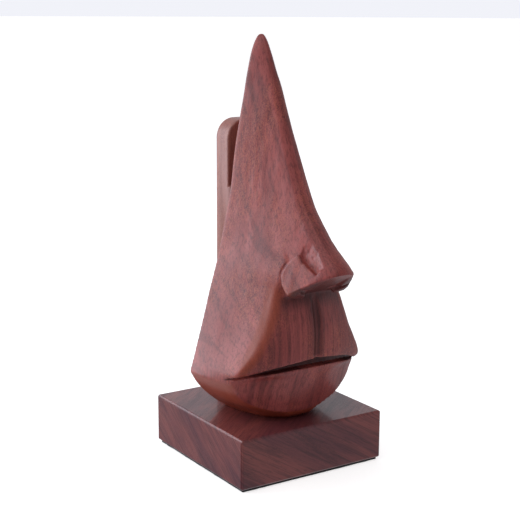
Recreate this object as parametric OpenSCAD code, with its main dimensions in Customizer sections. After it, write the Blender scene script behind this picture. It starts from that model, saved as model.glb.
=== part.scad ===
// Nose-shaped wooden stand for a pair of eyeglasses.
// Millimetres, +Z up. The origin is the centre of the underside, the felt's resting face.
// The face looks along -Y. The glasses sit on the ridge of the nose, and their folded
// temples drop into the slot between the flat back of the head and the bracket.

/* [Base block] */
// Side of the square block
base_w = 60; // [56:1:80]
// Height of the block
base_h = 18; // [14:1:30]
// Chamfer on the edges of the block
base_chamfer = 0.7; // [0.3:0.1:2]
// Thickness of the felt under the block
felt_t = 1; // [0.5:0.1:3]
// How far the felt stops short of the block's sides
felt_inset = 1; // [0.5:0.5:6]

/* [Temple bracket] */
// Width of the bracket
bracket_w = 19.4; // [14:0.2:24]
// Thickness of the free upper part of the bracket
tongue_t = 8.4; // [6:0.2:12]
// Clear width of the slot for the folded temples
slot_w = 5.6; // [4.6:0.1:9]
// Height of the slot's floor
slot_floor_z = 99; // [85:1:108]
// Height of the bracket's top
bracket_top_z = 123; // [115:1:135]
// Radius of the bracket's top corners
tongue_corner_r = 7; // [2:0.2:9]

/* [Fasteners] */
// Distance between the two base screws
screw_spacing = 18; // [14:1:20]
// Distance of the screws in front of the block's centre
screw_forward = 5; // [2:1:8]
// Shank diameter of the screws
screw_d = 4; // [3:0.5:5]
// Length of the screws
screw_l = 32; // [25:1:35]
// Dowel diameter
dowel_d = 6; // [5:1:8]
// Dowel length
dowel_l = 16; // [12:1:18]

/* [Nose and mouth] */
// Depth of the mouth's undercut
mouth_depth = 3.2; // [1:0.2:4]
// Opening of the mouth at its middle
mouth_gap = 2.8; // [1.5:0.1:4]
// Depth of the groove in the upper lip
philtrum_depth = 0.9; // [0.5:0.1:2]
// Width of the groove in the upper lip
philtrum_w = 3; // [2:0.2:7]
// Rise of the nose's underside from the lip towards the tip, in degrees
underside_tilt = 27.5; // [20:0.5:35]

/* [Hidden] */

eps = 0.01;
base_top = felt_t + base_h;
back_y = 6;
tongue_y = back_y + slot_w;
bracket_back_y = tongue_y + tongue_t;

// The screws
screw_recess = 1.2;
screw_head_z = felt_t + screw_recess;
head_d = 2 * screw_d;
head_l = (head_d - screw_d) / 2;
point_l = 5;
point_d = 0.8;
recess_w = 4.4;
recess_t = 1;
recess_depth = 1.6;
screw_clearance = 0.4;
pilot_clearance = 0.1;
pilot_depth = screw_head_z + screw_l - base_top + 1.5;

// The dowels
dowel_heights = [48, 82];
dowel_clearance = 0.05;
dowel_chamfer = 0.8;
dowel_hole_depth = dowel_l / 2 + 1;

// The tip of the nose, where its underside starts
tip_y = -48.6;
tip_z = 77.2;

// The wing's outline on the right, the hollow in front of it, and the nostril
wing_points = [
    [7.9, -30.6, 80.7],
    [9.4, -28.7, 78.7],
    [10.6, -27.3, 76.5],
    [11.7, -27, 73.7],
    [12.5, -28, 70.8],
    [12.5, -29.6, 69.2],
    [12.3, -31.5, 68.1],
    [10.4, -31.4, 67],
    [6.6, -31, 66.6],
    [7.4, -40.6, 73.8],
    [7.1, -39.7, 75.7],
    [5.2, -43.6, 75.8],
    [5.2, -43.6, 75.3],
    [4, -31, 79],
    [4, -28, 72],
    [4, -38, 74]
];
wing_round = 0.5;
gouge_wall = [[6.5, -31.2, 81.2], [6.5, -33.4, 79], [6.3, -36.6, 77.1], [6.3, -39.3, 76.2]];
gouge_rim = [
    [5.9, -31.2, 83.6],
    [5, -33.5, 83.7],
    [4.8, -36, 82.4],
    [5.3, -38.3, 80.3],
    [5.9, -40.1, 78.4]
];
gouge_way = [3.4, -0.6, 0.6];
gouge_round = 0.5;
nostril_points = [[4.6, -32.2, 67.6], [8.2, -34.8, 69.6]];
nostril_radii = [1.3, 1.6];

// The mouth, level arcs seen from the front
mouth_z = 43.9;
mouth_arch = 0.0102;
mouth_half_w = 27.6;
mouth_end_gap = 0.4;
mouth_steps = 10;
lip_r = 40.2;
lip_centre_y = 9;

// The groove in the upper lip runs along these points: [front of the lip, height]
philtrum_points = [[-29.4, 65], [-31.7, 53], [-31.4, 42]];

// The face below the nose, one row for each height. Half of a level section runs from the
// flat back, along the cheek to a shoulder, round to the edge of the lip, and to the middle:
// [height, half width at the back, shoulder x, shoulder y, lip edge x, lip edge y, middle y]
chin_rows = [
    [base_top, 14.6, 10.6, -11.1, 4, -17.6, -18],
    [20.4, 16.8, 12.4, -13.3, 5, -20.2, -20.6],
    [22, 19, 14, -14.6, 6, -21.6, -22.2],
    [23.3, 20.6, 16.2, -14.8, 10.2, -21.2, -22.9],
    [24.8, 22.3, 19, -14.4, 15.5, -19.6, -23.4],
    [27.1, 24.6, 21.8, -14.2, 19.3, -18.5, -24.4],
    [30.3, 27.2, 24.6, -13.8, 22.9, -17.5, -25.8],
    [34.4, 29.6, 27.1, -13.4, 25.8, -16.5, -27.6]
];
face_rows = [
    [34.4, 29.6, 27.1, -13.4, 25.8, -16.5, -27.6],
    [36.7, 28.9, 26.9, -16, 25.7, -17.8, -28.6],
    [39, 28.2, 26.3, -19.2, 25.4, -21, -29.8],
    [43, 27.1, 24, -21.7, 22.4, -24.1, -31.4],
    [47.5, 25.8, 21.2, -23, 18.9, -26.4, -31.9],
    [52, 24.5, 18.8, -23.6, 16.1, -27.3, -31.9],
    [57, 23.1, 16.9, -23.8, 14.4, -27.2, -31.3],
    [62, 21.8, 15.2, -23.8, 13.1, -26.5, -30],
    [68, 20, 13.2, -23.3, 11.4, -25.5, -28.2],
    [71, 19.1, 12.7, -24.1, 11.1, -26.6, -28.4],
    [74, 18.2, 12.1, -25, 10.8, -27.6, -28.6],
    [78, 16.8, 10.8, -24.6, 9.7, -27, -28.4],
    [83, 14.4, 8.4, -20.5, 7.4, -22.6, -24.4]
];

// The nose, one row for each height. Half of a level section runs from the flat back, through
// the side of the nose above its wing, to the round ridge:
// [height, half width at the back, side x, side y, ridge y, ridge radius]
nose_rows = [
    [60, 18, 9.6, -27, -49.2, 6.6],
    [65, 18, 9.6, -27.5, -48.6, 6.6],
    [70, 17.9, 9.8, -28.6, -48, 6.6],
    [74, 17.9, 10.4, -29.4, -47.4, 6.4],
    [77.5, 17.4, 10.2, -29, -45.6, 5.8],
    [80, 16.9, 9.6, -27.2, -42.6, 5.1],
    [84, 15.9, 8.6, -24, -37, 4.6],
    [89, 14.8, 8, -19, -31.6, 4.3],
    [94, 13.6, 8, -13.5, -27, 4.1],
    [100, 12.5, 7.9, -9.6, -23.2, 3.9],
    [108, 11.5, 7.3, -7, -19, 3.7],
    [116, 10.4, 6.6, -4.8, -14.9, 3.4],
    [124, 8.9, 5.7, -3, -11.2, 3.1],
    [132, 7.3, 4.7, -1.2, -7.4, 2.8],
    [140, 5.9, 3.8, 0.4, -3.6, 2.4],
    [146, 4.6, 2.9, 1.7, -0.9, 1.9],
    [150, 3.1, 2, 3, 1.2, 1.4],
    [152.2, 1.7, 1.2, 4, 2.8, 0.8],
    [153.2, 0.7, 0.5, 4.9, 4, 0.4]
];

// Heights between two rows follow a smooth curve through the rows.
function row_at(rows, z, i = 1) =
    i >= len(rows) - 1 || z < rows[i][0] ? i - 1 : row_at(rows, z, i + 1);
function slope(rows, i, c) =
    let (a = max(i - 1, 0), b = min(i + 1, len(rows) - 1))
    (rows[b][c] - rows[a][c]) / (rows[b][0] - rows[a][0]);
function value(rows, z, c) =
    let (
        i = row_at(rows, z),
        h = rows[i + 1][0] - rows[i][0],
        t = (z - rows[i][0]) / h
    )
    (2 * t ^ 3 - 3 * t ^ 2 + 1) * rows[i][c] + (t ^ 3 - 2 * t ^ 2 + t) * h * slope(rows, i, c)
    + (3 * t ^ 2 - 2 * t ^ 3) * rows[i + 1][c] + (t ^ 3 - t ^ 2) * h * slope(rows, i + 1, c);
function levels(rows, step) =
    let (z0 = rows[0][0], z1 = rows[len(rows) - 1][0], n = ceil((z1 - z0) / step))
    [for (i = [0 : n]) z0 + (z1 - z0) * i / n];

function bezier(a, b, c, d, t) =
    (1 - t) ^ 3 * a + 3 * t * (1 - t) ^ 2 * b + 3 * t ^ 2 * (1 - t) * c + t ^ 3 * d;

cheek_steps = 4;
turn_steps = 5;
side_steps = cheek_steps + turn_steps;
front_steps = 8;
lip_curve = 1.8;
cheek_bulge = 0.6;
lip_softness = 0.6;

// Right half of a level section of the face: the slightly round cheek from the back to the
// shoulder, a tight turn to the edge of the lip, and the front to the middle of the lip.
// soft is 0 for a sharp edge there and 1 for none.
function face_half(rows, z, soft) =
    let (
        corner = [value(rows, z, 1), back_y],
        shoulder = [value(rows, z, 2), value(rows, z, 3)],
        edge = [value(rows, z, 4), value(rows, z, 5)],
        middle_y = value(rows, z, 6),
        along = (shoulder - corner) / norm(shoulder - corner),
        cheek = (corner + shoulder) / 2 + 2 * cheek_bulge * [-along.y, along.x],
        turn = norm(edge - shoulder),
        front = [edge.x, lip_curve * (edge.y - middle_y)],
        into = soft * front / norm(front) + (1 - soft) * (shoulder - edge) / turn,
        before = shoulder + 0.35 * turn * (shoulder - cheek) / norm(shoulder - cheek),
        after = edge + 0.35 * turn * into / norm(into)
    )
    concat(
        [for (i = [0 : cheek_steps])
            let (t = i / cheek_steps)
            (1 - t) ^ 2 * corner + 2 * t * (1 - t) * cheek + t ^ 2 * shoulder],
        [for (i = [1 : turn_steps]) bezier(shoulder, before, after, edge, i / turn_steps)],
        [for (i = [1 : front_steps])
            let (u = 1 - i / front_steps)
            [edge.x * u, middle_y + (edge.y - middle_y) * u ^ lip_curve]]
    );

// Right half of a level section of the nose, from the back to the ridge
function nose_half(rows, z) =
    let (
        corner = [value(rows, z, 1), back_y],
        side = [value(rows, z, 2), value(rows, z, 3)],
        ridge_y = value(rows, z, 4),
        r = value(rows, z, 5),
        start = atan2(side.x - r, side.y - ridge_y - r),
        ridge = [r * cos(start), ridge_y + r - r * sin(start)],
        before = side + (corner - side) * 0.25,
        after = side + (ridge - side) * 0.35
    )
    concat(
        [for (i = [0 : side_steps]) bezier(corner, before, after, ridge, i / side_steps)],
        [for (i = [1 : front_steps])
            let (a = start + (90 - start) * i / front_steps)
            [r * cos(a), ridge_y + r - r * sin(a)]]
    );

function mirrored(half) =
    concat(half, [for (i = [len(half) - 2 : -1 : 0]) [-half[i].x, half[i].y]]);

// A closed skin through level rings that all have the same number of points
module loft(rings, heights) {
    n = len(rings[0]);
    last = len(rings) - 1;
    points = [for (k = [0 : last]) for (p = rings[k]) [p.x, p.y, heights[k]]];
    sides = [for (k = [0 : last - 1]) for (i = [0 : n - 1])
        let (a = k * n + i, b = k * n + (i + 1) % n)
        each [[a, b, b + n], [a, b + n, a + n]]];
    floor_face = [for (i = [n - 1 : -1 : 0]) i];
    top_face = [for (i = [0 : n - 1]) last * n + i];
    polyhedron(points, concat(sides, [floor_face, top_face]), convexity = 6);
}

module face_body() {
    chin_z = levels(chin_rows, 1.6);
    face_z = levels(face_rows, 2.6);
    upper_z = [for (i = [1 : len(face_z) - 1]) face_z[i]];
    rings = concat(
        [for (z = chin_z) mirrored(face_half(chin_rows, z, 0))],
        [for (z = upper_z) mirrored(face_half(face_rows, z, lip_softness))]
    );
    loft(rings, concat(chin_z, upper_z));
}

module nose_body() {
    heights = levels(nose_rows, 2.4);
    loft([for (z = heights) mirrored(nose_half(nose_rows, z))], heights);
}

// Place children on the right, and mirrored on the left
module both_sides() {
    children();
    mirror([1, 0, 0])
        children();
}

// A raised wing of the nose, flattened on its outer face
module wing() {
    hull()
        for (p = wing_points)
            translate(p)
                sphere(r = wing_round, $fn = 16);
}

// Everything under the sloping underside of the nose
module under_nose() {
    translate([0, tip_y, tip_z])
        rotate([-underside_tilt, 0, 0])
            translate([-50, -20, -60])
                cube([100, 120, 60]);
}

// The hollow carved between the wing and the ridge
module wing_gouge() {
    hull()
        for (p = concat(gouge_wall, gouge_rim))
            for (q = [p, p + gouge_way])
                translate(q)
                    sphere(r = gouge_round, $fn = 12);
}

module nostril() {
    hull()
        for (k = [0 : len(nostril_points) - 1])
            translate(nostril_points[k])
                sphere(r = nostril_radii[k], $fn = 16);
}

// The undercut between the lips: an arched band through the front, as deep as mouth_depth
module mouth() {
    upper = [for (i = [-mouth_steps : mouth_steps])
        let (x = mouth_half_w * i / mouth_steps)
        [x, mouth_z - mouth_arch * x ^ 2]];
    lower = [for (i = [mouth_steps : -1 : -mouth_steps])
        let (x = mouth_half_w * i / mouth_steps, u = x / mouth_half_w)
        [x, mouth_z - mouth_arch * x ^ 2 - mouth_gap * (1 - u ^ 2) - mouth_end_gap]];
    difference() {
        rotate([90, 0, 0])
            linear_extrude(60)
                polygon(concat(upper, lower));
        translate([0, lip_centre_y, 0])
            cylinder(r = lip_r - mouth_depth, h = 100, $fn = 96);
    }
}

// The shallow groove down the middle of the upper lip
module philtrum() {
    hull()
        for (p = philtrum_points)
            translate([0, p[0] - philtrum_w / 2 + philtrum_depth, p[1]])
                sphere(d = philtrum_w, $fn = 20);
}

module nose_head() {
    color("saddlebrown")
        difference() {
            union() {
                face_body();
                difference() {
                    nose_body();
                    under_nose();
                }
                both_sides()
                    wing();
            }
            both_sides() {
                wing_gouge();
                nostril();
            }
            mouth();
            philtrum();
            screw_pair()
                translate([0, 0, base_top - eps])
                    cylinder(d = screw_d + pilot_clearance, h = pilot_depth, $fn = 32);
            dowel_pair()
                translate([0, -dowel_hole_depth, 0])
                    rotate([-90, 0, 0])
                        cylinder(d = dowel_d, h = dowel_hole_depth + eps, $fn = 32);
        }
}

module temple_bracket() {
    color("peru")
        difference() {
            translate([0, bracket_back_y, 0])
                rotate([90, 0, 0])
                    linear_extrude(bracket_back_y - back_y)
                        tongue_outline();
            translate([-bracket_w, back_y - 1, slot_floor_z])
                cube([2 * bracket_w, slot_w + 1, bracket_top_z]);
            dowel_pair()
                rotate([-90, 0, 0])
                    translate([0, 0, -eps])
                        cylinder(d = dowel_d, h = dowel_hole_depth + eps, $fn = 32);
        }
}

// The bracket seen from behind: a straight bar with round top corners
module tongue_outline() {
    half = bracket_w / 2;
    translate([-half, base_top])
        square([bracket_w, bracket_top_z - tongue_corner_r - base_top]);
    translate([-half + tongue_corner_r, base_top])
        square([bracket_w - 2 * tongue_corner_r, bracket_top_z - base_top]);
    for (x = [-1, 1] * (half - tongue_corner_r))
        translate([x, bracket_top_z - tongue_corner_r])
            circle(r = tongue_corner_r, $fn = 64);
}

// A square of side w with small chamfered corners
module chamfered(w, h) {
    c = base_chamfer;
    polygon([[c, 0], [w - c, 0], [w, c], [w, h - c], [w - c, h], [c, h], [0, h - c], [0, c]]);
}

module base_block() {
    color("sienna")
        difference() {
            intersection() {
                translate([-base_w / 2, -base_w / 2, felt_t])
                    linear_extrude(base_h)
                        chamfered(base_w, base_w);
                translate([-base_w / 2, base_w / 2, felt_t])
                    rotate([90, 0, 0])
                        linear_extrude(base_w)
                            chamfered(base_w, base_h);
                translate([-base_w / 2, -base_w / 2, felt_t])
                    rotate([90, 0, 90])
                        linear_extrude(base_w)
                            chamfered(base_w, base_h);
            }
            screw_pair() {
                cylinder(d = screw_d + screw_clearance, h = base_top + 1, $fn = 32);
                translate([0, 0, felt_t - eps])
                    cylinder(d = head_d + screw_clearance, h = screw_recess + 2 * eps, $fn = 48);
                translate([0, 0, screw_head_z])
                    cylinder(d1 = head_d + screw_clearance, d2 = screw_d + screw_clearance,
                        h = head_l, $fn = 48);
            }
        }
}

// A countersunk wood screw that stands on its head, with a cross recess
module wood_screw() {
    difference() {
        union() {
            cylinder(d1 = head_d, d2 = screw_d, h = head_l, $fn = 48);
            cylinder(d = screw_d, h = screw_l - point_l, $fn = 32);
            translate([0, 0, screw_l - point_l])
                cylinder(d1 = screw_d, d2 = point_d, h = point_l, $fn = 32);
        }
        for (a = [0, 90])
            rotate([0, 0, a])
                translate([-recess_w / 2, -recess_t / 2, -eps])
                    cube([recess_w, recess_t, recess_depth]);
    }
}

// The two screw positions under the chin, left at 0 and right at 1
module screw_at(k) {
    translate([(k - 0.5) * screw_spacing, -screw_forward, 0])
        children();
}

module screw_pair() {
    for (k = [0, 1])
        screw_at(k)
            children();
}

// The two dowel positions in the joint behind the head, lower at 0 and upper at 1
module dowel_at(k) {
    translate([0, back_y, dowel_heights[k]])
        children();
}

module dowel_pair() {
    for (k = [0, 1])
        dowel_at(k)
            children();
}

module dowel() {
    c = dowel_chamfer;
    r = dowel_d / 2 - dowel_clearance;
    rotate([-90, 0, 0])
        translate([0, 0, -dowel_l / 2])
            rotate_extrude($fn = 48)
                polygon([[0, 0], [r - c, 0], [r, c], [r, dowel_l - c], [r - c, dowel_l],
                    [0, dowel_l]]);
}

module base_screw_left() {
    color("silver")
        screw_at(0)
            translate([0, 0, screw_head_z])
                wood_screw();
}

module base_screw_right() {
    color("silver")
        screw_at(1)
            translate([0, 0, screw_head_z])
                wood_screw();
}

module bracket_dowel_lower() {
    color("burlywood")
        dowel_at(0)
            dowel();
}

module bracket_dowel_upper() {
    color("burlywood")
        dowel_at(1)
            dowel();
}

module felt_pad() {
    side = base_w - 2 * felt_inset;
    color("dimgray")
        translate([-side / 2, -side / 2, 0])
            cube([side, side, felt_t]);
}

nose_head();
temple_bracket();
base_block();
base_screw_left();
base_screw_right();
bracket_dowel_upper();
bracket_dowel_lower();
felt_pad();
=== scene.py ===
import math

import bmesh
import bpy
import numpy as np
from mathutils import Matrix, Vector


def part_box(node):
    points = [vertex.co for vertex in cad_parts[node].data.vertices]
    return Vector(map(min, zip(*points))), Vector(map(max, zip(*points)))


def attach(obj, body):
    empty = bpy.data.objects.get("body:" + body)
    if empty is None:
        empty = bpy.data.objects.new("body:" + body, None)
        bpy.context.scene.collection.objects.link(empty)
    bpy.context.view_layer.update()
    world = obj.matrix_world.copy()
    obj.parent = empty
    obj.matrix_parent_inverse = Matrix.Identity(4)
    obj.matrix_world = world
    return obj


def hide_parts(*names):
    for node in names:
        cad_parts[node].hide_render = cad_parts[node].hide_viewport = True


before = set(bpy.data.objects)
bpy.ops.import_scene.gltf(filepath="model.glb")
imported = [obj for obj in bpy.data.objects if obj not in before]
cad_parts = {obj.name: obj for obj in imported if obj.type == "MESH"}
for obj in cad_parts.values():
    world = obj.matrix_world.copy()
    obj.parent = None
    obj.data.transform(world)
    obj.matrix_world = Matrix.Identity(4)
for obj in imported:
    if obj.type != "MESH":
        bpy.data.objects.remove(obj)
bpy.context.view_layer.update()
MM = 0.001


# ---------------------------------------------------------------- implicit surfaces
# Lengths in this part are millimetres in the CAD frame. A field is negative inside wood.

def surface_nets(field, xs, ys, zs):
    """Vertices and quads of the zero surface of a field on a rectilinear grid."""
    inside = field < 0
    count = np.zeros(tuple(n - 1 for n in field.shape), np.int8)
    corners = [(a, b, c) for a in (0, 1) for b in (0, 1) for c in (0, 1)]
    nx, ny, nz = count.shape
    for a, b, c in corners:
        count += inside[a:a + nx, b:b + ny, c:c + nz]
    cell = np.argwhere((count > 0) & (count < 8))
    index = np.full(count.shape, -1, np.int64)
    index[tuple(cell.T)] = np.arange(len(cell))
    axes = (xs, ys, zs)
    total, hits = np.zeros((len(cell), 3)), np.zeros(len(cell))
    for p in corners:
        for axis in range(3):
            if p[axis]:
                continue
            q = tuple(1 if k == axis else p[k] for k in range(3))
            ip, iq = cell + p, cell + q
            fp = field[tuple(ip.T)].astype(float)
            fq = field[tuple(iq.T)].astype(float)
            cross = (fp < 0) != (fq < 0)
            t = np.where(cross, fp / np.where(cross, fp - fq, 1), 0)
            for k in range(3):
                at = axes[k][ip[:, k]]
                if k == axis:
                    at = at + t * (axes[k][iq[:, k]] - at)
                total[:, k] += np.where(cross, at, 0)
            hits += cross
    verts = total / hits[:, None]
    quads = []
    for axis in range(3):
        u, v = (axis + 1) % 3, (axis + 2) % 3
        low = [slice(None)] * 3
        high = [slice(None)] * 3
        low[axis], high[axis] = slice(0, -1), slice(1, None)
        flip = inside[tuple(low)] != inside[tuple(high)]
        at = np.argwhere(flip)
        ok = (at[:, u] > 0) & (at[:, v] > 0) & (at[:, u] < field.shape[u] - 1) & (at[:, v] < field.shape[v] - 1)
        at = at[ok]
        eu, ev = np.eye(3, dtype=int)[u], np.eye(3, dtype=int)[v]
        ring = [index[tuple((at - s * eu - t * ev).T)] for s, t in ((1, 1), (0, 1), (0, 0), (1, 0))]
        outward = inside[tuple(low)][tuple(at.T)]
        quad = np.stack(ring, 1)
        quad[~outward] = quad[~outward][:, ::-1]
        quads.append(quad)
    return verts, np.concatenate(quads)


def settle(verts, field, xs, ys, zs, rounds=3):
    """Pull each vertex along the field's slope onto its zero surface."""
    axes = (xs, ys, zs)
    for _ in range(rounds):
        cell, part = [], []
        for k in range(3):
            i = np.clip(np.searchsorted(axes[k], verts[:, k], side="right") - 1, 0, len(axes[k]) - 2)
            cell.append(i)
            part.append((verts[:, k] - axes[k][i]) / (axes[k][i + 1] - axes[k][i]))
        value, slope = np.zeros(len(verts)), np.zeros((len(verts), 3))
        for p in [(a, b, c) for a in (0, 1) for b in (0, 1) for c in (0, 1)]:
            f = field[cell[0] + p[0], cell[1] + p[1], cell[2] + p[2]].astype(float)
            w = [part[k] if p[k] else 1 - part[k] for k in range(3)]
            value += f * w[0] * w[1] * w[2]
            for k in range(3):
                u, v = (k + 1) % 3, (k + 2) % 3
                span = axes[k][cell[k] + 1] - axes[k][cell[k]]
                slope[:, k] += f * w[u] * w[v] * (1 if p[k] else -1) / span
        move = slope * (value / np.maximum((slope ** 2).sum(1), 0.2))[:, None]
        far = np.linalg.norm(move, axis=1, keepdims=True)
        verts = verts - move * np.minimum(1, 0.2 / np.maximum(far, 1e-9))
    return verts


def smooth_min(a, b, k):
    """The smaller of two fields, with the corner between them filled over a width of k."""
    h = np.clip(0.5 + 0.5 * (b - a) / k, 0, 1)
    return b + (a - b) * h - k * h * (1 - h)


def smooth_max(a, b, k):
    """The larger of two fields, with the corner between them rounded over a width of k."""
    return -smooth_min(-a, -b, k)


def lattice_noise(x, y, z, seed):
    """Smooth value noise from -1 to 1, one feature per unit length."""
    size = 32
    table = np.random.default_rng(seed).uniform(-1, 1, (size, size, size)).astype(np.float32)
    whole = [np.floor(c).astype(np.int64) for c in (x, y, z)]
    part = [(c - w).astype(np.float32) for c, w in zip((x, y, z), whole)]
    part = [p * p * p * (p * (p * 6 - 15) + 10) for p in part]
    out = np.zeros(np.broadcast(x, y, z).shape, np.float32)
    for a in (0, 1):
        for b in (0, 1):
            for c in (0, 1):
                weight = (part[0] if a else 1 - part[0]) * (part[1] if b else 1 - part[1]) \
                    * (part[2] if c else 1 - part[2])
                out += weight * table[(whole[0] + a) % size, (whole[1] + b) % size, (whole[2] + c) % size]
    return out


def capsule_chain(x, y, z, points, radii):
    """Distance to a chain of round cones, near enough."""
    best = None
    for (p, q, r, s) in zip(points[:-1], points[1:], radii[:-1], radii[1:]):
        p, q = np.array(p, float), np.array(q, float)
        d = q - p
        t = np.clip(((x - p[0]) * d[0] + (y - p[1]) * d[1] + (z - p[2]) * d[2]) / d.dot(d), 0, 1)
        far = np.sqrt((x - p[0] - t * d[0]) ** 2 + (y - p[1] - t * d[1]) ** 2 + (z - p[2] - t * d[2]) ** 2)
        far = far - (r + t * (s - r))
        best = far if best is None else np.minimum(best, far)
    return best


def tangents(rows):
    """The rows and their slopes against height, the first column."""
    rows = np.array(rows, float)
    m = np.zeros_like(rows)
    for i in range(len(rows)):
        a, b = max(i - 1, 0), min(i + 1, len(rows) - 1)
        m[i] = (rows[b] - rows[a]) / (rows[b][0] - rows[a][0])
    return rows, m


def row_value(table, z):
    """The row at height z, on the smooth curve through the rows."""
    rows, m = table
    i = int(np.clip(np.searchsorted(rows[:, 0], z, side="right") - 1, 0, len(rows) - 2))
    h = rows[i + 1][0] - rows[i][0]
    t = (z - rows[i][0]) / h
    return ((2 * t ** 3 - 3 * t ** 2 + 1) * rows[i] + (t ** 3 - 2 * t ** 2 + t) * h * m[i]
            + (3 * t ** 2 - 2 * t ** 3) * rows[i + 1] + (t ** 3 - t ** 2) * h * m[i + 1])


def bezier(a, b, c, d, n):
    """n + 1 points along a cubic curve from a to d."""
    t = np.linspace(0, 1, n + 1)[:, None]
    return (1 - t) ** 3 * a + 3 * t * (1 - t) ** 2 * b + 3 * t ** 2 * (1 - t) * c + t ** 3 * d


BACK = 6.0
BASE_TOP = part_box("base_block")[1].z / MM
CHIN_FOOT, CHIN_TOP, FACE_TOP = 19, 34.4, 83
NOSE_FOOT, NOSE_TOP = 60, 153.2
FAR = 30


def face_half(row, soft):
    """Right half of a level section: a slightly round cheek, a tight turn to the lip's edge, the front."""
    corner, shoulder, edge = np.array([row[1], BACK]), row[2:4], row[4:6]
    along = (shoulder - corner) / np.linalg.norm(shoulder - corner)
    cheek = (corner + shoulder) / 2 + 1.2 * np.array([-along[1], along[0]])
    turn = np.linalg.norm(edge - shoulder)
    front = np.array([edge[0], 1.8 * (edge[1] - row[6])])
    into = soft * front / np.linalg.norm(front) + (1 - soft) * (shoulder - edge) / turn
    before = shoulder + 0.35 * turn * (shoulder - cheek) / np.linalg.norm(shoulder - cheek)
    after = edge + 0.35 * turn * into / np.linalg.norm(into)
    t = np.linspace(0, 1, 13)[:-1, None]
    side = (1 - t) ** 2 * corner + 2 * t * (1 - t) * cheek + t ** 2 * shoulder
    u = np.linspace(1, 0, 15)[1:, None]
    middle = np.concatenate([edge[0] * u, row[6] + (edge[1] - row[6]) * u ** 1.8], 1)
    return np.concatenate([side, bezier(shoulder, before, after, edge, 12), middle])


def nose_half(row):
    """Right half of a level section of the nose: a hollow flank, then the ridge's arc."""
    corner, side, tip, r = np.array([row[1], BACK]), row[2:4], row[4], row[5]
    start = math.atan2(side[0] - r, side[1] - tip - r)
    ridge = np.array([r * math.cos(start), tip + r - r * math.sin(start)])
    flank = bezier(corner, side + (corner - side) * 0.25, side + (ridge - side) * 0.35, ridge, 20)
    a = np.linspace(start, math.pi / 2, 13)[1:]
    return np.concatenate([flank, np.stack([r * np.cos(a), tip + r - r * np.sin(a)], 1)])


def section_distance(half, X, Y):
    """Signed level distance to a mirrored section, for points with X at or above 0."""
    points = np.concatenate([[half[0] + [0, 12.0]], half])
    near = np.full(X.shape, 1e9, np.float32)
    odd = np.zeros(X.shape, bool)
    for k, (p, q) in enumerate(zip(points[:-1], points[1:])):
        d = q - p
        t = np.clip(((X - p[0]) * d[0] + (Y - p[1]) * d[1]) / max(d.dot(d), 1e-12), 0, 1)
        near = np.minimum(near, (X - p[0] - t * d[0]) ** 2 + (Y - p[1] - t * d[1]) ** 2)
        if p[0] != q[0]:
            spans = (p[0] > X) != (q[0] > X)
            level = p[1] + (X - p[0]) * (q[1] - p[1]) / (q[0] - p[0])
            odd ^= spans & (level < Y)
    near = np.sqrt(near)
    return np.where(odd, -near, near).astype(np.float32)


# Each row: height, half width at the back, shoulder x, y, lip edge x, y, middle y.
CHIN = tangents([
    [19, 14.6, 10.6, -11.1, 4, -17.6, -18], [20.4, 16.8, 12.4, -13.3, 5, -20.2, -20.6],
    [22, 19, 14, -14.6, 6, -21.6, -22.2], [23.3, 20.6, 16.2, -14.8, 10.2, -21.2, -22.9],
    [24.8, 22.3, 19, -14.4, 15.5, -19.6, -23.4], [27.1, 24.6, 21.8, -14.2, 19.3, -18.5, -24.4],
    [30.3, 27.2, 24.6, -13.8, 22.9, -17.5, -25.8], [34.4, 29.6, 27.1, -13.4, 25.8, -16.5, -27.6],
])
FACE = tangents([
    [34.4, 29.6, 27.1, -13.4, 25.8, -16.5, -27.6], [36.7, 28.9, 26.9, -16, 25.7, -17.8, -28.6],
    [39, 28.2, 26.3, -19.2, 25.4, -21, -29.8], [43, 27.1, 24, -21.7, 22.4, -24.1, -31.4],
    [47.5, 25.8, 21.2, -23, 18.9, -26.4, -31.9], [52, 24.5, 18.8, -23.6, 16.1, -27.3, -31.9],
    [57, 23.1, 16.9, -23.8, 14.4, -27.2, -31.3], [62, 21.8, 15.2, -23.8, 13.1, -26.5, -30],
    [68, 20, 13.2, -23.3, 11.4, -25.5, -28.2], [71, 19.1, 12.7, -24.1, 11.1, -26.6, -28.4],
    [74, 18.2, 12.1, -25, 10.8, -27.6, -28.6], [78, 16.8, 10.8, -24.6, 9.7, -27, -28.4],
    [83, 14.4, 8.4, -20.5, 7.4, -22.6, -24.4],
])
# Each row: height, half width at the back, side x, y, ridge y, ridge radius.
NOSE = tangents([
    [60, 18, 9.6, -27, -49.2, 6.6], [65, 18, 9.6, -27.5, -48.6, 6.6], [70, 17.9, 9.8, -28.6, -48, 6.6],
    [74, 17.9, 10.4, -29.4, -47.4, 6.4], [77.5, 17.4, 10.2, -29, -45.6, 5.8],
    [80, 16.9, 9.6, -27.2, -42.6, 5.1], [84, 15.9, 8.6, -24, -37, 4.6], [89, 14.8, 8, -19, -31.6, 4.3],
    [94, 13.6, 8, -13.5, -27, 4.1], [100, 12.5, 7.9, -9.6, -23.2, 3.9], [108, 11.5, 7.3, -7, -19, 3.7],
    [116, 10.4, 6.6, -4.8, -14.9, 3.4], [124, 8.9, 5.7, -3, -11.2, 3.1], [132, 7.3, 4.7, -1.2, -7.4, 2.8],
    [140, 5.9, 3.8, 0.4, -3.6, 2.4], [146, 4.6, 2.9, 1.7, -0.9, 1.9], [150, 3.1, 2, 3, 1.2, 1.4],
    [152.2, 1.7, 1.2, 4, 2.8, 0.8], [153.2, 0.7, 0.5, 4.9, 4, 0.4],
])
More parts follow.
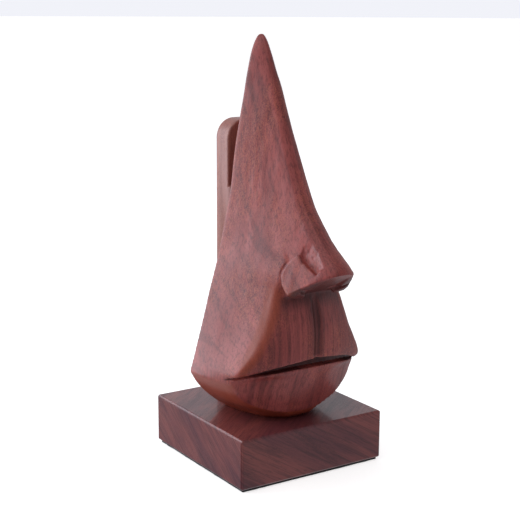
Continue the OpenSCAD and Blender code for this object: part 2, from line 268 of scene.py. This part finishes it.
WING = [[7.9, -30.6, 80.7], [9.4, -28.7, 78.7], [10.6, -27.3, 76.5], [11.7, -27, 73.7], [12.5, -28, 70.8],
        [12.5, -29.6, 69.2], [12.3, -31.5, 68.1], [10.4, -31.4, 67], [6.6, -31, 66.6], [7.4, -40.6, 73.8],
        [7.1, -39.7, 75.7], [5.2, -43.6, 75.8], [5.2, -43.6, 75.3], [4, -31, 79], [4, -28, 72], [4, -38, 74]]
GOUGE = [[6.5, -31.2, 81.2], [6.5, -33.4, 79], [6.3, -36.6, 77.1], [6.3, -39.3, 76.2], [5.9, -31.2, 83.6],
         [5, -33.5, 83.7], [4.8, -36, 82.4], [5.3, -38.3, 80.3], [5.9, -40.1, 78.4]]
GOUGE += [[x + 3.4, y - 0.6, z + 0.6] for x, y, z in GOUGE]
# The stop cut behind the wing, the nostril and the lip's groove: the points of a chain, and its radii.
RIM = ([[9.4, -28.6, 80.2], [10.5, -27.1, 78], [12.1, -25.9, 75], [12.9, -26.1, 72.4], [13.2, -27.4, 69.8],
        [12.9, -29.6, 67.9]], [0.45, 0.6, 0.7, 0.75, 0.7, 0.6])
NOSTRIL = ([[4.6, -32.2, 67.6], [8.2, -34.8, 69.6]], [1.3, 1.7])
GROOVE = ([[0, -30, 65], [0, -32.3, 53], [0, -32, 42]], [1.5, 1.5, 1.5])
# The nose's underside: the tip it passes through and its slope.
TIP_Y, TIP_Z, TILT = -48.6, 77.2, math.radians(27.5)
# The mouth: an arch falling away from the middle, open most there, as deep as MOUTH_DEPTH behind the round lips.
MOUTH_Z, MOUTH_FALL, MOUTH_HALF = 43.9, 0.0102, 27.6
MOUTH_GAP, MOUTH_END = 2.8, 0.4
LIP_RADIUS, LIP_Y, MOUTH_DEPTH = 40.2, 9, 4.4
# Dowel holes: their heights, depth and radius. Pilot holes: distance either side, y, depth and radius.
DOWELS, HOLE, DOWEL_RADIUS = (48, 82), 9.0, 3.0
SCREWS, SCREW_Y, PILOT, PILOT_RADIUS = 9.0, -5, 17.7, 2.05


def hull_planes(points):
    """Outward normal and offset of each face of the convex hull."""
    bm = bmesh.new()
    for p in points:
        bm.verts.new(p)
    bmesh.ops.convex_hull(bm, input=bm.verts)
    bm.normal_update()
    planes = [(np.array(f.normal), float(f.normal.dot(f.verts[0].co))) for f in bm.faces]
    bm.free()
    return planes


def hull_distance(x, y, z, points, grow, soften):
    """Distance to the hull of the points, grown by grow and with softened edges."""
    best = None
    for n, d in hull_planes(points):
        side = n[0] * x + n[1] * y + n[2] * z - d - grow
        best = side if best is None else smooth_max(best, side, soften)
    return best


def head_field(xs, ys, zs):
    """The right half of the head, then its mirror image. The back plane is cut last."""
    half_x = xs[xs >= -1e-9]
    X, Y = np.meshgrid(np.maximum(half_x, 1e-3), ys, indexing="ij")
    X, Y = X.astype(np.float32), Y.astype(np.float32)
    face = np.full((len(half_x), len(ys), len(zs)), FAR, np.float32)
    nose = face.copy()
    for k, z in enumerate(zs):
        if z <= CHIN_TOP:
            face[:, :, k] = section_distance(face_half(row_value(CHIN, max(z, CHIN_FOOT)), 0), X, Y)
        elif z <= FACE_TOP:
            face[:, :, k] = section_distance(face_half(row_value(FACE, z), 0.6), X, Y)
        if z >= NOSE_FOOT:
            section = section_distance(nose_half(row_value(NOSE, min(z, NOSE_TOP))), X, Y)
            nose[:, :, k] = np.maximum(section, z - NOSE_TOP)
    x, y, z = half_x[:, None, None], ys[None, :, None], zs[None, None, :]
    wing = hull_distance(x, y, z, WING, 0.5, 0.35)
    under = math.cos(TILT) * (TIP_Z - z) + math.sin(TILT) * (TIP_Y - y) + 0 * x
    upper = smooth_min(smooth_max(nose, under, 0.35), wing, 0.4)
    field = smooth_min(face, upper, 0.9)
    # the scooped cut in front of the wing, rough from the gouge
    cut = hull_distance(x, y, z, GOUGE, 0.6, 0.3) + 0.2 * lattice_noise(x / 1.3, y / 1.1, z / 1.1, 11)
    field = smooth_max(field, -cut, 0.2)
    # a fine stop cut round the back of the wing
    field = smooth_max(field, -capsule_chain(x, y, z, *RIM), 0.25)
    field = smooth_max(field, -capsule_chain(x, y, z, *NOSTRIL), 0.3)
    # the mouth
    arch = MOUTH_Z - MOUTH_FALL * x ** 2
    u = np.clip(x / MOUTH_HALF, 0, 1)
    band = np.maximum(z - arch, arch - MOUTH_GAP * (1 - u ** 2) - MOUTH_END - z)
    inner = (LIP_RADIUS - MOUTH_DEPTH) - np.sqrt(x ** 2 + (y - LIP_Y) ** 2)
    band = np.maximum(np.maximum(band, x - MOUTH_HALF), inner)
    band = np.maximum(band, y)
    field = smooth_max(field, -band, 0.25)
    field = smooth_max(field, -capsule_chain(x, y, z, *GROOVE), 0.4)
    full = np.concatenate([field[:0:-1], field])
    x = xs[:, None, None]
    # hand work: slow waves over the faces and the fine marks of the knife
    full = full + 0.22 * lattice_noise(x / 11, y / 11, z / 16, 5)
    full = full + 0.05 * lattice_noise(x / 2.2, y / 2.2, z / 6, 6)
    full = smooth_max(full, y - BACK + 0 * full, 1.1)
    full = np.maximum(full, BASE_TOP - z)
    hole = np.sqrt((abs(x) - SCREWS) ** 2 + (y - SCREW_Y) ** 2) - PILOT_RADIUS
    full = np.maximum(full, -np.maximum(hole, z - PILOT - BASE_TOP))
    for level in DOWELS:
        hole = np.sqrt(x ** 2 + (z - level) ** 2) - DOWEL_RADIUS
        full = np.maximum(full, -np.maximum(hole, BACK - HOLE - y))
    return full


def mesh_object(name, verts, faces, material):
    """A smooth-shaded object in the scene, from vertices in millimetres."""
    mesh = bpy.data.meshes.new(name)
    places = [tuple(v) for v in np.asarray(verts, float) * MM]
    mesh.from_pydata(places, [], [tuple(int(i) for i in f) for f in faces])
    mesh.update()
    mesh.polygons.foreach_set("use_smooth", [True] * len(mesh.polygons))
    mesh.materials.append(material)
    obj = bpy.data.objects.new(name, mesh)
    bpy.context.scene.collection.objects.link(obj)
    return obj


# ---------------------------------------------------------------- materials

class Nodes:
    """A material with one Principled shader. mm is the place on the object in millimetres."""

    def __init__(self, name):
        self.material = bpy.data.materials.new(name)
        self.material.use_nodes = True
        self.tree = self.material.node_tree
        self.tree.nodes.clear()
        self.out = self.add("ShaderNodeOutputMaterial")
        self.shader = self.add("ShaderNodeBsdfPrincipled")
        self.tree.links.new(self.shader.outputs[0], self.out.inputs[0])
        place = self.add("ShaderNodeTexCoord")
        self.mm = self.scaled(place.outputs["Object"], (1000, 1000, 1000))

    def xyz(self):
        split = self.add("ShaderNodeSeparateXYZ")
        self.put(split.inputs[0], self.mm)
        return split.outputs

    def add(self, kind, **values):
        node = self.tree.nodes.new(kind)
        for key, value in values.items():
            setattr(node, key, value)
        return node

    def put(self, socket, value):
        if isinstance(value, bpy.types.NodeSocket):
            self.tree.links.new(value, socket)
        else:
            socket.default_value = value

    def scaled(self, vector, scale, turn=(0, 0, 0), move=(0, 0, 0)):
        node = self.add("ShaderNodeMapping")
        self.put(node.inputs["Vector"], vector)
        node.inputs["Scale"].default_value = scale
        node.inputs["Rotation"].default_value = turn
        node.inputs["Location"].default_value = move
        return node.outputs[0]

    def noise(self, vector, scale=1.0, detail=3.0, rough=0.5, warp=0.0):
        node = self.add("ShaderNodeTexNoise")
        self.put(node.inputs["Vector"], vector)
        node.inputs["Scale"].default_value = scale
        node.inputs["Detail"].default_value = detail
        node.inputs["Roughness"].default_value = rough
        node.inputs["Distortion"].default_value = warp
        return node.outputs["Fac"]

    def math(self, op, a, b=0.0, c=0.0):
        node = self.add("ShaderNodeMath", operation=op)
        for socket, value in zip(node.inputs, (a, b, c)):
            self.put(socket, value)
        return node.outputs[0]

    def span(self, value, a, b, c=0.0, d=1.0):
        """A smooth ramp from c, where value is a, to d, where it is b."""
        node = self.add("ShaderNodeMapRange", interpolation_type="SMOOTHSTEP")
        self.put(node.inputs["Value"], value)
        for key, number in zip(("From Min", "From Max", "To Min", "To Max"), (a, b, c, d)):
            self.put(node.inputs[key], number)
        return node.outputs[0]

    def mix(self, fac, a, b):
        node = self.add("ShaderNodeMix", data_type="RGBA")
        self.put(node.inputs["Factor"], fac)
        for key, value in (("A", a), ("B", b)):
            socket = [s for s in node.inputs if s.name == key and s.type == "RGBA"][0]
            self.put(socket, value)
        return [s for s in node.outputs if s.type == "RGBA"][0]

    def bump(self, height, strength, distance):
        node = self.add("ShaderNodeBump")
        node.inputs["Strength"].default_value = strength
        node.inputs["Distance"].default_value = distance
        self.put(node.inputs["Height"], height)
        return node.outputs[0]

    def set(self, **values):
        for key, value in values.items():
            self.put(self.shader.inputs[key.replace("_", " ")], value)


def srgb(r, g, b):
    """A linear colour from its sRGB values, 0 to 255."""
    def line(v):
        v /= 255
        return v / 12.92 if v <= 0.04045 else ((v + 0.055) / 1.055) ** 2.4
    return (line(r), line(g), line(b), 1.0)


def painted_corner_shade(m, patch):
    """Painted shade: a warm dark tint along the turn from cheek to lip, and on the bevel under the chin, where these
    faces turn away from the light.
    """
    x, y, z = m.xyz()
    x = m.math("ABSOLUTE", x)
    climb = m.math("POWER", m.math("MAXIMUM", m.math("DIVIDE", m.math("SUBTRACT", 68.0, z), 31.3), 0.0), 1.25)
    aside = m.math("ABSOLUTE", m.math("SUBTRACT", x, m.math("MULTIPLY_ADD", climb, 14.0, 12.6)))
    corner = m.math("MULTIPLY", m.span(aside, 3.0, 0.6), m.span(z, 35.5, 39.0))
    corner = m.math("MULTIPLY", corner, m.math("MULTIPLY", m.span(z, 73.0, 66.0), m.span(y, -19.5, -22.0)))
    sink = m.math("DIVIDE", m.math("SUBTRACT", 34.6, z), 12.4)
    reach = m.math("ADD", m.math("POWER", sink, 2.0), m.math("POWER", m.math("DIVIDE", x, 25.6), 2.0))
    bevel = m.math("MULTIPLY", m.span(reach, 0.92, 1.0), m.span(z, 35.5, 33.5))
    both = m.math("MAXIMUM", m.math("MULTIPLY", corner, 0.75), m.math("MULTIPLY", bevel, 0.85))
    return m.math("MULTIPLY", both, m.span(patch, 0.2, 0.6, 0.6, 1.0))


def painted_recess_shade(m, band):
    """Painted shade: darkening under the nose, in the mouth and along the groove above it, where shade falls in
    these recesses.
    """
    x, y, z = m.xyz()
    wide = m.math("ABSOLUTE", x)
    below = m.math("MULTIPLY_ADD", z, -math.cos(TILT), math.cos(TILT) * TIP_Z + math.sin(TILT) * TIP_Y)
    below = m.math("MULTIPLY_ADD", y, -math.sin(TILT), below)
    nose = m.math("MULTIPLY", m.span(below, -0.7, 0.1), m.span(below, 7.0, 0.5))
    nose = m.math("MULTIPLY", nose, m.math("MULTIPLY", m.span(y, -47.0, -39.0), m.span(y, -24.0, -27.5)))
    nose = m.math("MULTIPLY", nose, m.span(wide, 13.5, 11.5))
    arch = m.math("MULTIPLY_ADD", m.math("POWER", x, 2.0), -MOUTH_FALL, MOUTH_Z)
    drop = m.math("SUBTRACT", arch, z)
    deep = m.math("POWER", m.math("DIVIDE", x, MOUTH_HALF), 2.0)
    deep = m.math("MULTIPLY_ADD", deep, -MOUTH_GAP, MOUTH_GAP + MOUTH_END)
    inner = m.math("POWER", m.math("SUBTRACT", y, LIP_Y), 2.0)
    inner = m.math("SQRT", m.math("ADD", m.math("POWER", x, 2.0), inner))
    mouth = m.math("MULTIPLY", m.span(drop, -0.1, 0.15), m.span(m.math("SUBTRACT", drop, deep), 0.15, -0.15))
    mouth = m.math("MULTIPLY", mouth, m.math("MULTIPLY", m.span(inner, 40.1, 39.1), m.span(wide, 27.8, 26.5)))
    mouth = m.math("MULTIPLY", mouth, m.span(y, -11.0, -15.0))
    groove = m.math("MULTIPLY", m.span(m.math("ABSOLUTE", m.math("ADD", x, 0.3)), 3.2, 0.8), m.span(z, 43.8, 45.5))
    groove = m.math("MULTIPLY", groove, m.math("MULTIPLY", m.span(z, 67.0, 64.0), m.span(y, -27.0, -29.0)))
    groove = m.math("MULTIPLY", groove, m.span(band, 0.3, 0.6, 0.45, 0.9))
    both = m.math("MAXIMUM", m.math("MULTIPLY", nose, 0.62), m.math("MULTIPLY", mouth, 0.72))
    return m.math("MAXIMUM", both, m.math("MULTIPLY", groove, 0.7))


def end_grain(m, half):
    """The faces cut across the grain, at x = half either side: they soak up oil and dry dark and dull."""
    return m.span(m.math("ABSOLUTE", m.xyz()[0]), half - 0.25, half - 0.1)


def wood(name, light, mid, dark, fleck, grain=(0, 0, 1), ring=(1, 0, 0), stripe=0.6, figure=0.45, gloss=0.42,
         coat=0.15, coat_rough=0.3, wide=(1.7, 30.0), length=110, line=(0.55, 1.1, 26), zone=(10, 14, 60),
         shade_tint=None, ends=None):
    """Oiled rosewood: growth rings facing ring, stripes and pores along the grain, curly flecks across it."""
    m = Nodes(name)
    up, out = Vector(grain).normalized(), Vector(ring).normalized()
    p = m.scaled(m.mm, (1, 1, 1), Matrix((out, up.cross(out), up)).to_euler())

    def streak(x, y, z, move, **more):
        return m.noise(m.scaled(p, (1 / x, 1 / y, 1 / z), move=move), **more)

    drift = streak(*zone, (0, 4, 0), detail=2, warp=0.5)
    band = streak(wide[0], wide[1], length, (3, 1, 2), detail=4, rough=0.6, warp=0.2)
    fine = streak(*line, (7, 5, 1), detail=3, rough=0.6)
    curl = streak(0.9, 0.8, 1.5, (1, 9, 4), detail=2, rough=0.6, warp=2.4)
    patch = streak(16, 16, 26, (5, 2, 7), detail=2)
    pore = streak(0.26, 0.26, 3.0, (2, 2, 8), detail=2)
    tone = m.mix(m.span(drift, 0.38, 0.62), mid, light)
    tone = m.mix(m.math("MULTIPLY", m.span(band, 0.46, 0.66), stripe * 0.8), tone, dark)
    tone = m.mix(m.math("MULTIPLY", m.span(fine, 0.48, 0.64), stripe * 0.75), tone, dark)
    curls = m.math("MULTIPLY", m.span(curl, 0.46, 0.6), m.span(patch, 0.4, 0.6, 0.25, 1.0))
    tone = m.mix(m.math("MULTIPLY", curls, figure), tone, fleck)
    knots = m.math("MULTIPLY", m.span(curl, 0.46, 0.34), m.span(patch, 0.4, 0.6, 0.2, 1.0))
    tone = m.mix(m.math("MULTIPLY", knots, figure * 0.5), tone, dark)
    if shade_tint:
        # painted shade: a warm dark tint on the turn from cheek to lip and on the chin's bevel
        tone = m.mix(painted_corner_shade(m, patch), tone, shade_tint)
        # painted shade: near black under the nose, in the mouth and along the lip's groove
        tone = m.mix(painted_recess_shade(m, band), tone, srgb(34, 12, 15))
    pores = m.span(pore, 0.6, 0.72)
    tone = m.mix(m.math("MULTIPLY", pores, 0.5), tone, dark)
    specular = 0.4
    if ends:
        cut = end_grain(m, ends)
        tone = m.mix(m.math("MULTIPLY", cut, 0.35), tone, dark)
        coat = m.math("MULTIPLY_ADD", cut, -coat, coat)
        specular = m.math("MULTIPLY_ADD", cut, -0.6 * specular, specular)
    rough = m.math("ADD", m.math("MULTIPLY", band, 0.12), gloss - 0.06)
    rough = m.math("ADD", rough, m.math("MULTIPLY", pores, 0.12))
    relief = m.math("ADD", m.math("MULTIPLY", pores, -0.6), m.math("MULTIPLY", fine, 0.5))
    relief = m.math("ADD", relief, m.math("MULTIPLY", curls, 0.35))
    m.set(Base_Color=tone, Roughness=rough, Normal=m.bump(relief, 0.3, 0.12 * MM), IOR=1.45)
    m.set(Coat_Weight=coat, Coat_Roughness=coat_rough, Coat_IOR=1.5, Specular_IOR_Level=specular)
    return m.material


def steel(name):
    """Yellow zinc on steel, faintly streaked."""
    m = Nodes(name)
    streak = m.noise(m.scaled(m.mm, (3, 3, 0.4)), detail=4)
    blotch = m.noise(m.mm, scale=0.6, detail=3)
    tone = m.mix(m.span(blotch, 0.35, 0.7), srgb(205, 190, 140), srgb(150, 140, 110))
    m.set(Base_Color=tone, Metallic=1.0, Roughness=m.math("ADD", m.math("MULTIPLY", streak, 0.25), 0.2))
    m.set(Normal=m.bump(streak, 0.2, 0.05 * MM))
    return m.material


def felt_material(name):
    """Dark pressed felt."""
    m = Nodes(name)
    fibre = m.noise(m.mm, scale=2.4, detail=5, rough=0.75, warp=2.0)
    clump = m.noise(m.mm, scale=0.35, detail=3)
    tone = m.mix(m.span(fibre, 0.35, 0.65), srgb(16, 14, 15), srgb(44, 40, 42))
    tone = m.mix(m.math("MULTIPLY", m.span(clump, 0.4, 0.7), 0.4), tone, srgb(24, 21, 23))
    m.set(Base_Color=tone, Roughness=0.95, Sheen_Weight=0.25, Normal=m.bump(fibre, 0.8, 0.15 * MM))
    return m.material


# The head's material carries painted shade: a warm tint on its corners and near black in its recesses.
carved = wood("carved_wood", srgb(166, 80, 77), srgb(146, 64, 61), srgb(74, 28, 34), srgb(192, 104, 78),
              shade_tint=srgb(148, 62, 36))
bar_wood = wood("bracket_wood", srgb(164, 104, 92), srgb(150, 90, 80), srgb(104, 56, 52), srgb(178, 118, 98),
                stripe=0.4, wide=(3, 3))
block_wood = wood("base_wood", srgb(142, 74, 70), srgb(104, 52, 58), srgb(60, 30, 38), srgb(150, 84, 68),
                  grain=(1, 0, -0.6), ring=(-0.6, 0.75, -1), stripe=0.55, figure=0.15, gloss=0.38, coat=0.35,
                  coat_rough=0.06, wide=(1.3, 14), length=22, line=(0.5, 9, 14), zone=(9, 60, 60),
                  ends=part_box("base_block")[1].x / MM)
peg_wood = wood("dowel_wood", srgb(226, 196, 150), srgb(208, 172, 122), srgb(160, 120, 78), srgb(232, 206, 164),
                grain=(0, 1, 0), ring=(1, 0, 0), stripe=0.3, gloss=0.6, coat=0.0, line=(0.5, 0.9, 12))
screw_metal = steel("screw_steel")
felt_cloth = felt_material("felt")

# ---------------------------------------------------------------- the head

# Grid steps: the nose's end and the lips are finest, the flanks coarsest.
fine, middle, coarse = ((0.36, 0.52, 0.7))
low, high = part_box("nose_head")
MARGIN = 1.5
xs = np.concatenate([np.arange(0, 13.6, fine), np.arange(13.6, high.x / MM + MARGIN, coarse)])
xs = np.concatenate([-xs[:0:-1], xs])
ys = np.concatenate([np.arange(-51.02, -25, fine), np.arange(-25, BACK - 1, coarse),
                     np.arange(BACK - 1, BACK + MARGIN, middle)])
zs = np.concatenate([np.arange(BASE_TOP - 1.03, 30, coarse), np.arange(30, 64, middle), np.arange(64, 85, fine),
                     np.arange(85, 144, coarse), np.arange(144, high.z / MM + MARGIN, fine)])
field = head_field(xs, ys, zs)
verts, quads = surface_nets(field, xs, ys, zs)
verts = settle(verts, field, xs, ys, zs)
for k in range(3):
    verts[:, k] = np.clip(verts[:, k], low[k] / MM, high[k] / MM)
head = mesh_object("head_carved", verts, quads, carved)
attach(head, "root")
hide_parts("nose_head")


# ---------------------------------------------------------------- the other wooden pieces

def rounded_copy(node, name, material, amount, keep):
    """A copy of a CAD node with its outer sharp edges rounded. keep says which edges stay sharp."""
    bm = bmesh.new()
    bm.from_mesh(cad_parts[node].data)
    bmesh.ops.remove_doubles(bm, verts=bm.verts, dist=2e-6)
    bmesh.ops.dissolve_limit(bm, angle_limit=math.radians(0.6), verts=bm.verts, edges=bm.edges)
    edges = [e for e in bm.edges if len(e.link_faces) == 2
             and e.calc_face_angle() > math.radians(25) and not keep(e)]
    bmesh.ops.bevel(bm, geom=edges, offset=amount, offset_type="OFFSET", segments=3, profile=0.5,
                    affect="EDGES", clamp_overlap=True)
    mesh = bpy.data.meshes.new(name)
    bm.to_mesh(mesh)
    bm.free()
    mesh.polygons.foreach_set("use_smooth", [True] * len(mesh.polygons))
    mesh.materials.clear()
    mesh.materials.append(material)
    obj = bpy.data.objects.new(name, mesh)
    bpy.context.scene.collection.objects.link(obj)
    obj.modifiers.new("corners", "WEIGHTED_NORMAL").keep_sharp = True
    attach(obj, "root")
    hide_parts(node)
    return obj


bracket_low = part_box("temple_bracket")[0]


def middle_of(edge):
    return (edge.verts[0].co + edge.verts[1].co) / 2


def in_bracket_bore(edge):
    """The dowel holes, the foot and the glued face below the slot keep their sharp edges."""
    mid, near = middle_of(edge), 0.2 * MM
    bored = any(math.hypot(mid.x, mid.z - h * MM) < (DOWEL_RADIUS + 0.4) * MM for h in DOWELS)
    glued = mid.y < bracket_low.y + near and mid.z < 98 * MM
    return bored or mid.z < bracket_low.z + near or glued


bar = rounded_copy("temple_bracket", "bracket_bar", bar_wood, 0.7 * MM, in_bracket_bore)


def in_screw_bore(edge):
    """The screw holes and their countersinks keep their sharp edges."""
    mid = middle_of(edge)
    return any(math.hypot(mid.x - s * SCREWS * MM, mid.y - SCREW_Y * MM) < 6 * MM for s in (-1, 1))


block = rounded_copy("base_block", "block_carcass", block_wood, 0.18 * MM, in_screw_bore)


# ---------------------------------------------------------------- the felt and the CAD fasteners

def felt_sheet():
    """A cut square of felt: its faces are slightly uneven, its cut edge slightly frayed."""
    low, high = (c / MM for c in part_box("felt_pad"))
    n = 58  # squares along each side, about a millimetre each
    u = np.linspace(low.x, high.x, n + 1)
    X, Y = np.meshgrid(u, u, indexing="ij")
    fray = 0.12 + 0.12 * lattice_noise(X / 1.7, Y / 1.7, X * 0 + 0.3, 21)
    side_x, side_y = abs(X) > high.x - 0.01, abs(Y) > high.y - 0.01
    border = side_x | side_y
    X = np.where(side_x, X - np.sign(X) * fray, X)
    Y = np.where(side_y, Y - np.sign(Y) * fray, Y)
    top = np.where(border, high.z - 0.12, high.z)
    under = low.z + 0.03 + 0.03 * lattice_noise(X / 2.3, Y / 2.3, X * 0 + 4.6, 22)
    under = np.where(border, low.z + 0.14, under)
    verts = np.concatenate([np.stack([X, Y, Z], -1).reshape(-1, 3) for Z in (top, under)])
    at = np.arange((n + 1) ** 2).reshape(n + 1, n + 1)
    a, b, c, d = at[:-1, :-1], at[1:, :-1], at[1:, 1:], at[:-1, 1:]
    faces = [np.stack([a, b, c, d], -1).reshape(-1, 4), np.stack([d, c, b, a], -1).reshape(-1, 4) + at.size]
    ring = np.concatenate([at[:-1, 0], at[-1, :-1], at[:0:-1, -1], at[0, :0:-1]])
    onward = np.roll(ring, -1)
    faces.append(np.stack([ring + at.size, onward + at.size, onward, ring], -1))
    return mesh_object("felt_sheet", verts, np.concatenate(faces), felt_cloth)


felt = felt_sheet()
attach(felt, "root")
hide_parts("felt_pad")

for node, material in (("base_screw_left", screw_metal), ("base_screw_right", screw_metal),
                       ("bracket_dowel_upper", peg_wood), ("bracket_dowel_lower", peg_wood)):
    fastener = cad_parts[node]
    fastener.data.materials.clear()
    fastener.data.materials.append(material)

# ---------------------------------------------------------------- camera, floor and light

scene = bpy.context.scene
yaw, pitch, roll = math.radians(-33.184), math.radians(12.098), math.radians(0.242)
back = Vector((math.sin(yaw) * math.cos(pitch), -math.cos(yaw) * math.cos(pitch), math.sin(pitch)))
level_right = Vector((math.cos(yaw), math.sin(yaw), 0))
level_up = back.cross(level_right)
right = math.cos(roll) * level_right + math.sin(roll) * level_up
up = -math.sin(roll) * level_right + math.cos(roll) * level_up
place = (right * -2.540 + up * 71.243 + back * 448.963) * MM
view = bpy.data.cameras.new("view")
view.sensor_width = 36
view.lens = 30 / 13 * view.sensor_width
view.clip_start = 0.01
view.clip_end = 20
camera = bpy.data.objects.new("camera", view)
camera.matrix_world = Matrix.Translation(place) @ Matrix((right, up, back)).transposed().to_4x4()
scene.collection.objects.link(camera)
scene.camera = camera

# The floor: a flat disc just under the felt, in rings that grow outwards.
SPOKES = 64
pale = Nodes("pale_floor")
pale.set(Base_Color=(0.85, 0.85, 0.85, 1), Roughness=0.9, Emission_Color=(1, 0.99, 0.98, 1), Emission_Strength=0.68)
bm = bmesh.new()
turns = np.linspace(0, 2 * math.pi, SPOKES + 1)[:-1]
rings = [[bm.verts.new((r * math.cos(a), r * math.sin(a), -0.02 * MM)) for a in turns]
         for r in (0.2, 0.6, 1.8, 5.0, 14.0)]
bm.faces.new(rings[0])
for inner, outer in zip(rings[:-1], rings[1:]):
    for k in range(SPOKES):
        onward = (k + 1) % SPOKES
        bm.faces.new((inner[k], outer[k], outer[onward], inner[onward]))
mesh = bpy.data.meshes.new("floor")
bm.to_mesh(mesh)
bm.free()
mesh.materials.append(pale.material)
floor = bpy.data.objects.new("floor", mesh)
scene.collection.objects.link(floor)
floor.visible_diffuse = False
floor.visible_glossy = False

# A white room, darker in front, on the right and overhead. The camera itself sees an even pale sky.
# Each loss is a heading, the two cosines between which it grows, and how much light it takes away.
WHITE = 0.95
losses = (((-0.45, -0.89, 0), -0.1, 0.85, 0.56), ((0.93, 0.1, -0.35), 0.3, 0.95, 0.5), ((0, 0, 1), 0.15, 0.85, 0.62))
world = bpy.data.worlds.new("studio")
world.use_nodes = True
sky = world.node_tree
glow = sky.nodes["Background"]
where = sky.nodes.new("ShaderNodeTexCoord").outputs["Generated"]
level = None
for heading, near, far, loss in losses:
    dot = sky.nodes.new("ShaderNodeVectorMath")
    dot.operation = "DOT_PRODUCT"
    dot.inputs[1].default_value = Vector(heading).normalized()
    sky.links.new(where, dot.inputs[0])
    fade = sky.nodes.new("ShaderNodeMapRange")
    fade.interpolation_type = "SMOOTHSTEP"
    for key, number in (("From Min", near), ("From Max", far), ("To Min", 1), ("To Max", 1 - loss)):
        fade.inputs[key].default_value = number
    sky.links.new(dot.outputs["Value"], fade.inputs["Value"])
    both = sky.nodes.new("ShaderNodeMath")
    both.operation = "MULTIPLY"
    both.inputs[1].default_value = WHITE
    sky.links.new(fade.outputs[0], both.inputs[0])
    if level is not None:
        sky.links.new(level, both.inputs[1])
    level = both.outputs[0]
seen = sky.nodes.new("ShaderNodeMix")
sky.links.new(sky.nodes.new("ShaderNodeLightPath").outputs["Is Camera Ray"], seen.inputs[0])
sky.links.new(level, seen.inputs[2])
seen.inputs[3].default_value = WHITE
sky.links.new(seen.outputs[0], glow.inputs["Strength"])
glow.inputs["Color"].default_value = (0.93, 0.94, 1, 1)
scene.world = world


def softbox(name, where, side, power, colour=(1, 1, 1)):
    """A square lamp turned to the middle of the stand."""
    lamp = bpy.data.lights.new(name, "AREA")
    lamp.shape = "RECTANGLE"
    lamp.size, lamp.size_y = side, side
    lamp.energy = power
    lamp.color = colour
    box = bpy.data.objects.new(name, lamp)
    box.location = where
    box.rotation_euler = (Vector(where) - Vector((0, 0, 0.08))).to_track_quat("Z", "Y").to_euler()
    box.visible_camera = False
    scene.collection.objects.link(box)


softbox("key", (-0.84, 0.84, 0.3), 1.1, 13, colour=(0.84, 0.91, 1))
softbox("top", (-0.45, -0.2, 1.2), 1.2, 3.5)
scene.view_settings.view_transform = "Standard"
scene.view_settings.exposure = 0.0
